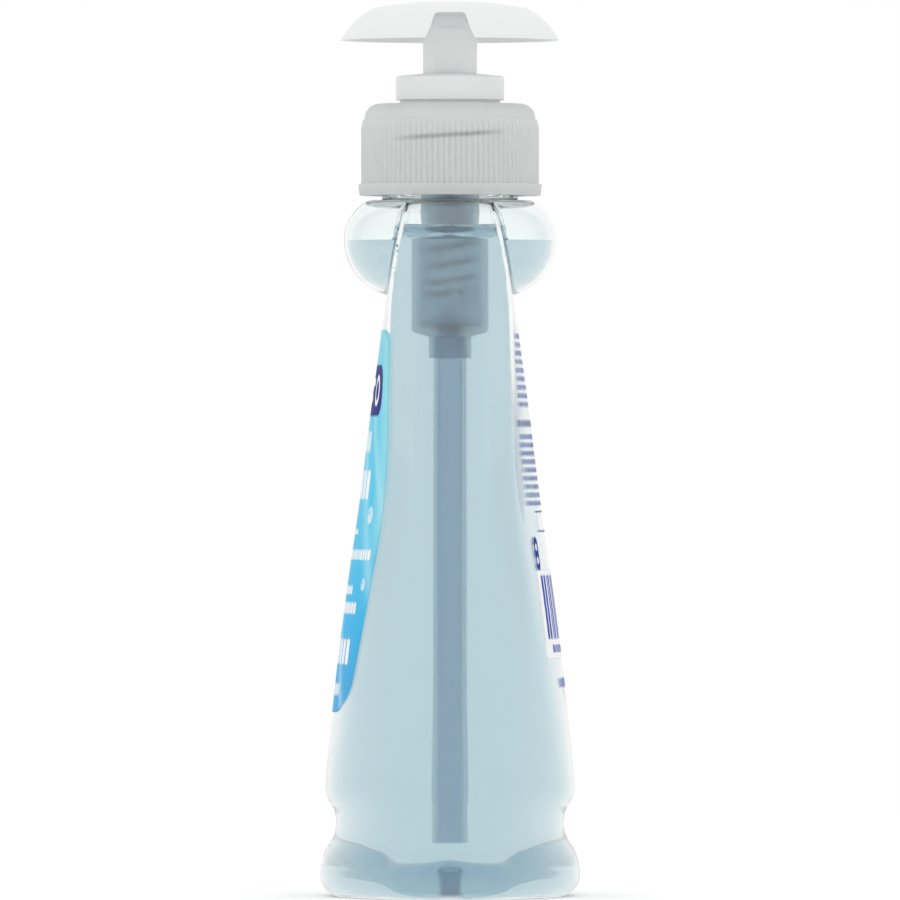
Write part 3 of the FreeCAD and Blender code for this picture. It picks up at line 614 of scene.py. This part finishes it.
def front_print(y, z):
    """The field with a navy panel, white bars and bubbles."""
    sheet = front_field(y, z)
    stamp(sheet, rounded_box(y, z, PANEL, PANEL_HALF, PANEL_CORNER), "06227F")
    for middle in (PANEL_RING_AT, -PANEL_RING_AT):
        stamp(sheet, ring_shape(y, z, (middle, PANEL[1]), PANEL_RING, PANEL_LINE), "FFFFFF")
    for level, half in PANEL_BARS:
        stamp(sheet, rounded_box(y, z, (0, level), (half, 0.75), 0.75), "FFFFFF")
    for low, high, half, pitch in TALL_BARS:
        for at in np.arange(-half, half + 0.1, pitch):
            bar = rounded_box(y, z, (at, (low + high) / 2), (0.36 * pitch, (high - low) / 2), 0.7)
            stamp(sheet, bar, "FFFFFF")
    for top, height, half, seed, lengths in FRONT_ROWS:
        paint(sheet, bar_rows(y, z, top, 1, 1.0, height, half, seed, lengths), "FFFFFF")
    for at, low, size in BUBBLES:
        stamp(sheet, ring_shape(y, z, (at, low), size), "F4FCFF", 0.7)
        stamp(sheet, ring_shape(y, z, (at - size * 0.3, low + size * 0.3), size * 0.28), "7CCDEE")
    return sheet


# %% Print of the back label
CLEAR_COVER = 0.02  # what clear film still hides
WORDS = (0.35, 1.1)  # shortest and longest bar in the rows of small print
BACK_ROWS = (  # height, number of rows, pitch, bar height, half width, seed, ink
    (109.4, 9, 1.66, 1.0, 19.5, 11, "4D6BBA"), (92.4, 1, 2.0, 1.4, 21.5, 12, "14308C"),
    (89.8, 9, 1.62, 1.0, 20.5, 13, "4563B2"), (41.8, 1, 2.0, 2.0, 12.0, 16, "4D6BBA"))
BOX, BOX_HALF, BOX_CORNER, BOX_LINE = (2.0, 73.3), (15.0, 1.9), 0.6, 0.18
LOZENGE, LOZENGE_HALF = (-17.6, 67.0), (1.5, 3.4)
LOZENGE_DOTS, LOZENGE_DOT = (68.3, 65.7), 0.7
CODE_PANEL, CODE_HALF = (0, 55.2), (19.5, 8.6)
STRIPES_FROM, STRIPES_TO, STRIPES_Z, STRIPES_HALF = -16.5, 16.0, 56.6, 6.2


def back_print(y, z):
    """Clear film with rows of navy bars, a white panel with stripes and a small lozenge."""
    sheet = {"colour": np.broadcast_to(np.array(srgb("EEF1F3")[:3]), (*y.shape, 3)),
             "cover": np.full(y.shape, CLEAR_COVER)}
    for top, count, pitch, height, half, seed, ink in BACK_ROWS:
        paint(sheet, bar_rows(y, z, top, count, pitch, height, half, seed, WORDS), ink)
    stamp(sheet, np.abs(rounded_box(y, z, BOX, BOX_HALF, BOX_CORNER)) - BOX_LINE, "233F95")
    stamp(sheet, rounded_box(y, z, LOZENGE, LOZENGE_HALF, LOZENGE_HALF[0]), "14308C")
    for level in LOZENGE_DOTS:
        stamp(sheet, ring_shape(y, z, (LOZENGE[0], level), LOZENGE_DOT), "EEF1F3")
    stamp(sheet, rounded_box(y, z, CODE_PANEL, CODE_HALF, 0.6), "FFFFFF")
    chance = np.random.default_rng(7)
    at = STRIPES_FROM
    while at < STRIPES_TO:
        half = chance.choice([0.3, 0.5, 0.8])
        stamp(sheet, rounded_box(y, z, (at, STRIPES_Z), (half, STRIPES_HALF)), "2A4AAE")
        at += 2 * half + chance.choice([0.4, 0.55, 0.8])
    paint(sheet, bar_rows(y, z, 48.5, 1, 2.0, 1.6, 15.0, 15, (0.5, 1.7)), "2A4AAE")
    return sheet


# %% Make a label
def make_label(name, side, design):
    """Closed film: the print lies in its outer sheet, the inner sheet is clear. Places on the
    print count from left to right as one looks at that label, so y is turned round in front."""
    outer, inner = label_grid(side, GLUE + FILM), label_grid(side, GLUE)
    rows, columns = outer.shape[:2]
    points = np.concatenate([outer.reshape(-1, 3), inner.reshape(-1, 3)])
    front = grid_faces(rows, columns, 0, False)
    back = grid_faces(rows, columns, rows * columns, False)[:, ::-1]
    ring = np.concatenate([
        np.arange(columns), np.arange(1, rows) * columns + columns - 1,
        rows * columns - 1 - np.arange(1, columns), (rows - 1 - np.arange(1, rows - 1)) * columns])
    nxt = np.roll(ring, -1)
    rim = np.stack([nxt, ring, ring + rows * columns, nxt + rows * columns], -1)
    piece = mesh_piece(name, points, np.concatenate([front, back, rim]))
    sheet = design(outer[..., 1] * side, outer[..., 2])
    print_rgba = np.concatenate([sheet["colour"], sheet["cover"][..., None]], -1).reshape(-1, 4)
    behind = print_rgba * [1, 1, 1, 0]
    ink = piece.data.color_attributes.new("print", "FLOAT_COLOR", "POINT")
    ink.data.foreach_set("color", np.concatenate([print_rgba, behind]).astype(np.float32).ravel())
    print(name, len(piece.data.polygons), "faces")
    return piece


front_label = make_label("front_label_film", -1, front_print)
back_label = make_label("back_label_film", 1, back_print)
for label, node in ((front_label, "front_label"), (back_label, "back_label")):
    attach(label, "bottle_body")
    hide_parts(node)

# %% [markdown]
# ## The spring
# The wire follows a helix whose pitch closes up at both ends, as a wound spring's end turns do.

# %% Wind the spring
END_CLOSE = 0.045  # share of the height by which the end turns close up


def make_spring(turns=6, wire=0.45, radius=3.5, steps=260, sides=12):
    """Tube along a helix. At the share t of its turns the share of its height is
    t - close * sin(2 pi t), so that the end turns lie flatter."""
    t = np.linspace(0, 1, steps)
    share = t - END_CLOSE * np.sin(2 * np.pi * t)
    turn = 2 * np.pi * turns * t
    middle = np.stack([radius * np.cos(turn), radius * np.sin(turn),
                       spring_low + wire + (spring_high - spring_low - 2 * wire) * share], -1)
    along = np.gradient(middle, axis=0)
    along /= np.linalg.norm(along, axis=1, keepdims=True)
    out = np.stack([np.cos(turn), np.sin(turn), np.zeros(steps)], -1)
    up = np.cross(along, out)
    a = np.linspace(0, 2 * np.pi, sides, endpoint=False)[None, :, None]
    points = middle[:, None] + wire * (np.cos(a) * out[:, None] + np.sin(a) * up[:, None])
    flat = np.concatenate([points.reshape(-1, 3), middle[:1], middle[-1:]])
    ring, first, last = np.arange(sides), steps * sides, steps * sides + 1
    nxt = (ring + 1) % sides
    low = np.stack([np.full(sides, first), ring, nxt], -1)
    high = np.stack([np.full(sides, last), (steps - 1) * sides + nxt, (steps - 1) * sides + ring], -1)
    body = grid_faces(steps, sides, 0, True)[:, ::-1]
    return mesh_piece("wound_spring", flat, body.tolist() + low.tolist() + high.tolist())


spring = make_spring()
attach(spring, "pump")
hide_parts("return_spring")
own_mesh(spring)
print("spring from", round(spring_low, 2), "to", round(spring_high, 2), "mm")

# %% [markdown]
# ## Materials
# Blown PET is glassy, with the faint long waves that a mould and stretching leave. Soap is a clear
# liquid whose pale blue comes from absorption, so thick places are deeper. Polypropylene mouldings
# are satin; the white ones are opaque, and the closure is natural polypropylene, which passes light
# milkily, so a share of it is a translucent shader. The parts that stand in the soap are clear or
# hazy, with a refraction close to that of the soap, so that they show as soft bluish shapes.

# %% Blown PET
WAVE = 1000 / 55  # mm from one wave to the next


def blown_pet():
    """Clear glassy PET: long shallow waves in the surface catch the light unevenly. Where the wall
    is seen along itself its colour is painted grey, a painted shade for a clear bottle's dark outline."""
    material, tree, output = new_material("blown_pet_clear")
    place = add(tree, "ShaderNodeTexCoord")
    waves = add(tree, "ShaderNodeTexNoise", {
        "Scale": 1 / (WAVE * MM), "Detail": 1.0}, Vector=(place, "Object"))
    bump = add(tree, "ShaderNodeBump", {"Strength": 0.12, "Distance": 0.0004}, Height=(waves, "Fac"))
    # Painted shade: the colour turns grey where the wall is seen along itself, drawing the dark outline.
    slant = add(tree, "ShaderNodeLayerWeight", {"Blend": 0.5})
    edge = add(tree, "ShaderNodeMapRange", {"From Min": 0.82, "From Max": 1.0}, Value=(slant, "Facing"))
    tint_and_painted_shade = add(tree, "ShaderNodeMix", {
        "data_type": "RGBA", "A_Color": srgb("FAFEFD"), "B_Color": srgb("8A949A")},
        Factor_Float=(edge, "Result"))
    skin = add(tree, "ShaderNodeBsdfPrincipled", {
        "Roughness": 0.015, "IOR": 1.575, "Transmission Weight": 1.0},
        Normal=(bump, "Normal"), Base_Color=(tint_and_painted_shade, "Result_Color"))
    tree.links.new(skin.outputs[0], output.inputs["Surface"])
    return material


# %% Liquid soap
def liquid_soap():
    """Clear viscous soap: absorption makes thick places bluer, the colour at its surface adds the
    pale blue of the thin ones and a painted shade of deeper blue over the push-up, and a slight
    roughness softens what is seen through it."""
    material, tree, output = new_material("liquid_soap_pale_blue")
    # Painted shade: over the push-up the colour is mixed to a deeper blue.
    painted_depth_shade = add(tree, "ShaderNodeAttribute", {"attribute_name": "painted_depth_shade"})
    tint_and_painted_shade = add(tree, "ShaderNodeMix", {
        "data_type": "RGBA", "A_Color": srgb("D2E2E8"), "B_Color": srgb("8CC0DC")},
        Factor_Float=(painted_depth_shade, "Fac"))
    clear = add(tree, "ShaderNodeBsdfPrincipled", {
        "Roughness": 0.1, "IOR": 1.36, "Transmission Weight": 1.0}, Base_Color=(tint_and_painted_shade, "Result_Color"))
    depth = add(tree, "ShaderNodeVolumeAbsorption", {"Color": srgb("90BDD0"), "Density": 6.0})
    tree.links.new(clear.outputs[0], output.inputs["Surface"])
    tree.links.new(depth.outputs[0], output.inputs["Volume"])
    return material


# %% Moulded plastics
SHADOW_Z, SHADOW_RISE, SHADOW_SPAN = 148.6, 6.5, 0.72  # mm at -Y, mm per turn, radians each way
SHADOW_CORE, SHADOW_SOFT = 0.1, 0.7  # mm from its middle: full, and gone


def thread_shadow(tree, place):
    """Painted shadow of the thread inside a milky closure, a dark line: 1 on the helix with the height
    z + rise * angle / 2 pi, the angle counted from -Y, falling to 0 beside it and at its ends."""
    part = add(tree, "ShaderNodeSeparateXYZ", Vector=(place, "Object"))
    front = add(tree, "ShaderNodeMath", {"operation": "MULTIPLY", "Value_001": -1.0}, Value=(part, "Y"))
    angle = add(tree, "ShaderNodeMath", {"operation": "ARCTAN2"},
                Value=(part, "X"), Value_001=(front, "Value"))
    helix = add(tree, "ShaderNodeMath", {
        "operation": "MULTIPLY_ADD", "Value_001": SHADOW_RISE * MM / (2 * math.pi),
        "Value_002": SHADOW_Z * MM}, Value=(angle, "Value"))
    gap = add(tree, "ShaderNodeMath", {"operation": "SUBTRACT"},
              Value=(part, "Z"), Value_001=(helix, "Value"))
    away = add(tree, "ShaderNodeMath", {"operation": "ABSOLUTE"}, Value=(gap, "Value"))
    line = add(tree, "ShaderNodeMapRange", {
        "From Min": SHADOW_CORE * MM, "From Max": SHADOW_SOFT * MM, "To Min": 1.0, "To Max": 0.0},
        Value=(away, "Value"))
    turned = add(tree, "ShaderNodeMath", {"operation": "ABSOLUTE"}, Value=(angle, "Value"))
    fade = add(tree, "ShaderNodeMapRange", {
        "From Min": 0.5 * SHADOW_SPAN, "From Max": SHADOW_SPAN, "To Min": 1.0, "To Max": 0.0},
        Value=(turned, "Value"))
    return add(tree, "ShaderNodeMath", {"operation": "MULTIPLY"},
               Value=(line, "Result"), Value_001=(fade, "Result"))


def moulded(name, colour, roughness, grain_mm, through=0.0, glow=0.0, ior=1.49, shadow=None):
    """Moulded polypropylene or polyethylene: satin, roughness varied by a grain, drawn coarser
    than the mould's tenth of a millimetre, which would not show. through is the share that passes
    clearly, glow the share that comes out milky behind, shadow the colour of a painted thread shadow."""
    material, tree, output = new_material(name)
    place = add(tree, "ShaderNodeTexCoord")
    grain = add(tree, "ShaderNodeTexNoise", {
        "Scale": 1 / (grain_mm * MM), "Detail": 3.0}, Vector=(place, "Object"))
    gloss = add(tree, "ShaderNodeMapRange", {
        "To Min": roughness - 0.06, "To Max": roughness + 0.06}, Value=(grain, "Fac"))
    bump = add(tree, "ShaderNodeBump", {"Strength": 0.08, "Distance": 0.0001}, Height=(grain, "Fac"))
    skin = add(tree, "ShaderNodeBsdfPrincipled", {
        "Base Color": srgb(colour), "IOR": ior, "Transmission Weight": through},
        Roughness=(gloss, "Result"), Normal=(bump, "Normal"))
    back = add(tree, "ShaderNodeBsdfTranslucent", {"Color": srgb(colour)}, Normal=(bump, "Normal"))
    both = add(tree, "ShaderNodeMixShader", {"Fac": glow}, Shader=(skin, "BSDF"), Shader_001=(back, "BSDF"))
    if shadow:
        # Painted shadow of the thread, mixed into the colour of both shaders.
        tint_and_painted_shade = add(tree, "ShaderNodeMix", {
            "data_type": "RGBA", "A_Color": srgb(colour), "B_Color": srgb(shadow)},
            Factor_Float=(thread_shadow(tree, place), "Value"))
        mixed = next(o for o in tint_and_painted_shade.outputs if o.identifier == "Result_Color")
        tree.links.new(mixed, skin.inputs["Base Color"])
        tree.links.new(mixed, back.inputs["Color"])
    tree.links.new(both.outputs[0], output.inputs["Surface"])
    return material


# %% Printed film
DOTS = 1 / 3  # mm between dots of ink, coarser than real ones, which would not show


def printed_film(name):
    """Satin film: the print's colour where ink covers it, clear film elsewhere. Its outer side shows
    the ink by the light that falls on it; its back, seen through the bottle, shows it by the
    light that comes through from outside."""
    material, tree, output = new_material(name)
    ink = add(tree, "ShaderNodeVertexColor", {"layer_name": "print"})
    place = add(tree, "ShaderNodeTexCoord")
    dots = add(tree, "ShaderNodeTexNoise", {
        "Scale": 1 / (DOTS * MM), "Detail": 0.0}, Vector=(place, "Object"))
    gloss = add(tree, "ShaderNodeMapRange", {"To Min": 0.38, "To Max": 0.5}, Value=(dots, "Fac"))
    film = add(tree, "ShaderNodeBsdfPrincipled", {"IOR": 1.2, "Specular IOR Level": 0.1},
               Base_Color=(ink, "Color"), Alpha=(ink, "Alpha"), Roughness=(gloss, "Result"))
    through = add(tree, "ShaderNodeBsdfTranslucent", Color=(ink, "Color"))
    clear = add(tree, "ShaderNodeBsdfTransparent")
    glow = add(tree, "ShaderNodeMixShader",
               Fac=(ink, "Alpha"), Shader=(clear, "BSDF"), Shader_001=(through, "BSDF"))
    side = add(tree, "ShaderNodeNewGeometry")
    both = add(tree, "ShaderNodeMixShader",
               Fac=(side, "Backfacing"), Shader=(film, "BSDF"), Shader_001=(glow, "Shader"))
    tree.links.new(both.outputs[0], output.inputs["Surface"])
    return material


# %% Steel
MARKS = 10 / 9  # mm between the marks of grinding and drawing


def steel(name, colour, roughness):
    """Stainless steel: metallic, its roughness varied by marks."""
    material, tree, output = new_material(name)
    place = add(tree, "ShaderNodeTexCoord")
    marks = add(tree, "ShaderNodeTexNoise", {
        "Scale": 1 / (MARKS * MM), "Detail": 2.0}, Vector=(place, "Object"))
    gloss = add(tree, "ShaderNodeMapRange", {
        "To Min": roughness - 0.05, "To Max": roughness + 0.1}, Value=(marks, "Fac"))
    skin = add(tree, "ShaderNodeBsdfPrincipled", {
        "Base Color": srgb(colour), "Metallic": 1.0}, Roughness=(gloss, "Result"))
    tree.links.new(skin.outputs[0], output.inputs["Surface"])
    return material


# %% Dress every piece
CLEAR = {"through": 1.0, "ior": 1.08}
MOULDED = (  # name, colour, roughness, grain in mm, further settings, pieces
    # Opaque white of the head: plain satin.
    ("moulded_polypropylene_white", "F1F2F2", 0.4, 0.5, {}, ("spout_column", "press_cap", "pump_collar")),
    # Undyed closure: milky, a little glossier, with a painted shadow of the thread as a faint dark line in
    # it.
    ("moulded_polypropylene_natural", "FAFCFB", 0.3, 0.6, {"glow": 0.5, "shadow": "CFD2D1"},
     ("screw_closure",)),
    # Thick-walled cylinder: hazy, so that what moves inside it is hardly seen.
    ("moulded_polypropylene_milky", "F1F9FF", 0.94, 0.5, {"through": 1.0, "ior": 1.28}, ("pump_cylinder",)),
    # Small parts inside: clear, with soft outlines.
    ("moulded_polypropylene_clear", "F8FAFC", 0.6, 0.5, CLEAR, ("ball_cage", "seal_retainer", "pump_stem")),
    # Dip tube: hazy blue-grey against the soap, glossier from the die.
    ("extruded_polyethylene_tube", "D4DEE8", 0.3, 0.4, {"through": 1.0, "ior": 1.12}, ("dip_tube",)),
    # Piston seal: clear and dull.
    ("moulded_polyethylene_soft", "F8FAFC", 0.6, 0.4, CLEAR, ("piston_seal",)),
    # Gasket: off-white and quite matt.
    ("polyethylene_foam", "EDEDEA", 0.85, 0.3, {}, ("neck_gasket",)))

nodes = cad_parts
dress(blown_pet(), bottle)
dress(liquid_soap(), soap)
dress(printed_film("printed_film_front"), front_label)
dress(printed_film("printed_film_back"), back_label)
for name, colour, roughness, grain_mm, more, names in MOULDED:
    dress(moulded(name, colour, roughness, grain_mm, **more), *(nodes[n] for n in names))
dress(steel("ground_steel", "DCDEE0", 0.3), nodes["inlet_ball"], nodes["outlet_ball"])
dress(steel("drawn_steel_wire", "FFFFFF", 0.9), spring)
print("materials:", sorted(m.name for m in bpy.data.materials))

# %% [markdown]
# ## Floor, light and camera
# A pale floor and a white surround keep the bottle's edges clean. The white that camera, gloss and
# clear plastic see comes from the world's Light Path, not from stronger lamps, and the three soft
# lamps only give the forms a light side. A long lens from three metres keeps the outline almost free
# of perspective: its focal length is sensor * distance / width of the picture at the bottle. Light
# may bounce often, because it crosses many walls of plastic and soap before it comes out.

# %% Floor
FLOOR_HALF, FLOOR_Z = 700.0, -0.02  # mm
FLOOR_LIFT = 0.3  # glow that only the camera sees


def pale_floor():
    """Matt pale board. The camera sees it lifted towards white by a little glow that lights nothing
    else and leaves the shadow; gloss and glass see it as plain white."""
    material, tree, output = new_material("pale_floor_board")
    path = add(tree, "ShaderNodeLightPath")
    board = add(tree, "ShaderNodeBsdfDiffuse", {"Color": srgb("F1F2F2")})
    glow = add(tree, "ShaderNodeMath", {"operation": "MULTIPLY", "Value_001": FLOOR_LIFT},
               Value=(path, "Is Camera Ray"))
    lift = add(tree, "ShaderNodeEmission", {"Color": srgb("FFFFFF")}, Strength=(glow, "Value"))
    lit = add(tree, "ShaderNodeAddShader", Shader=(board, "BSDF"), Shader_001=(lift, "Emission"))
    white = add(tree, "ShaderNodeEmission", {"Color": srgb("FFFFFF"), "Strength": 1.0})
    mirrored = add(tree, "ShaderNodeMath", {"operation": "MAXIMUM"},
                   Value=(path, "Is Glossy Ray"), Value_001=(path, "Is Transmission Ray"))
    both = add(tree, "ShaderNodeMixShader",
               Fac=(mirrored, "Value"), Shader=(lit, "Shader"), Shader_001=(white, "Emission"))
    tree.links.new(both.outputs[0], output.inputs["Surface"])
    return material


corners = [(x * FLOOR_HALF, y * FLOOR_HALF, FLOOR_Z) for x, y in ((-1, -1), (1, -1), (1, 1), (-1, 1))]
floor = mesh_piece("floor_board", corners, [(0, 1, 2, 3)], smooth=False)
dress(pale_floor(), floor)
print("floor", 2 * FLOOR_HALF * MM, "m wide")


# %% White surround
def white_surround(scene, light):
    """World: white wherever the camera, gloss or glass looks, and a soft light for the rest."""
    world = bpy.data.worlds.new("white_surround")
    world.use_nodes = True
    tree = world.node_tree
    tree.nodes.clear()
    output = tree.nodes.new("ShaderNodeOutputWorld")
    path = add(tree, "ShaderNodeLightPath")
    seen = add(tree, "ShaderNodeMath", {"operation": "MAXIMUM"},
               Value=(path, "Is Camera Ray"), Value_001=(path, "Is Glossy Ray"))
    seen = add(tree, "ShaderNodeMath", {"operation": "MAXIMUM"},
               Value=(seen, "Value"), Value_001=(path, "Is Transmission Ray"))
    level = add(tree, "ShaderNodeMapRange", {"To Min": light, "To Max": 1.0}, Value=(seen, "Value"))
    sky = add(tree, "ShaderNodeBackground", {"Color": srgb("FFFFFF")}, Strength=(level, "Result"))
    tree.links.new(sky.outputs[0], output.inputs["Surface"])
    scene.world = world


SURROUND = 0.92  # brightness of the soft light all round
scene = bpy.context.scene
white_surround(scene, SURROUND)
print("surround:", scene.world.name, SURROUND)


# %% Softboxes
def softbox(name, place, aim, size, power):
    """Square area lamp at place (metres), turned so that its -Z axis points at aim."""
    lamp = bpy.data.lights.new(name, "AREA")
    lamp.shape, lamp.size, lamp.energy = "SQUARE", size, power
    holder = bpy.data.objects.new(name, lamp)
    holder.location = place
    direction = Vector(aim) - Vector(place)
    holder.rotation_euler = direction.to_track_quat("-Z", "Y").to_euler()
    scene.collection.objects.link(holder)
    return lamp


MIDDLE = (0.0, 0.0, 0.09)  # metres
LAMPS = (  # name, place in metres, side in metres, watts
    ("softbox_left", (-0.75, -0.75, 0.55), 0.7, 0.4), ("softbox_right", (0.75, -0.75, 0.55), 0.7, 0.3),
    ("softbox_top", (0.0, 0.25, 1.1), 0.8, 0.2))
for name, place, size, power in LAMPS:
    softbox(name, place, MIDDLE, size, power)

# %% Camera
DISTANCE, PICTURE_WIDTH, AIM_Z, SENSOR = 3.0, 0.1762, 0.0872, 36.0  # metres, sensor in mm
CLEAR_BOUNCES, PLAIN_BOUNCES = 32, 16
lens = bpy.data.cameras.new("camera")
lens.sensor_width = SENSOR
lens.lens = SENSOR * DISTANCE / PICTURE_WIDTH
lens.clip_start, lens.clip_end = 0.1, 20.0
camera = bpy.data.objects.new("camera", lens)
camera.location = (0.0, -DISTANCE, AIM_Z)
camera.rotation_euler = (math.pi / 2, 0.0, 0.0)
scene.collection.objects.link(camera)
scene.camera = camera
scene.view_settings.view_transform = "Standard"
scene.cycles.max_bounces = scene.cycles.transmission_bounces = CLEAR_BOUNCES
scene.cycles.diffuse_bounces = scene.cycles.glossy_bounces = PLAIN_BOUNCES
print("lens", round(lens.lens, 1), "mm")
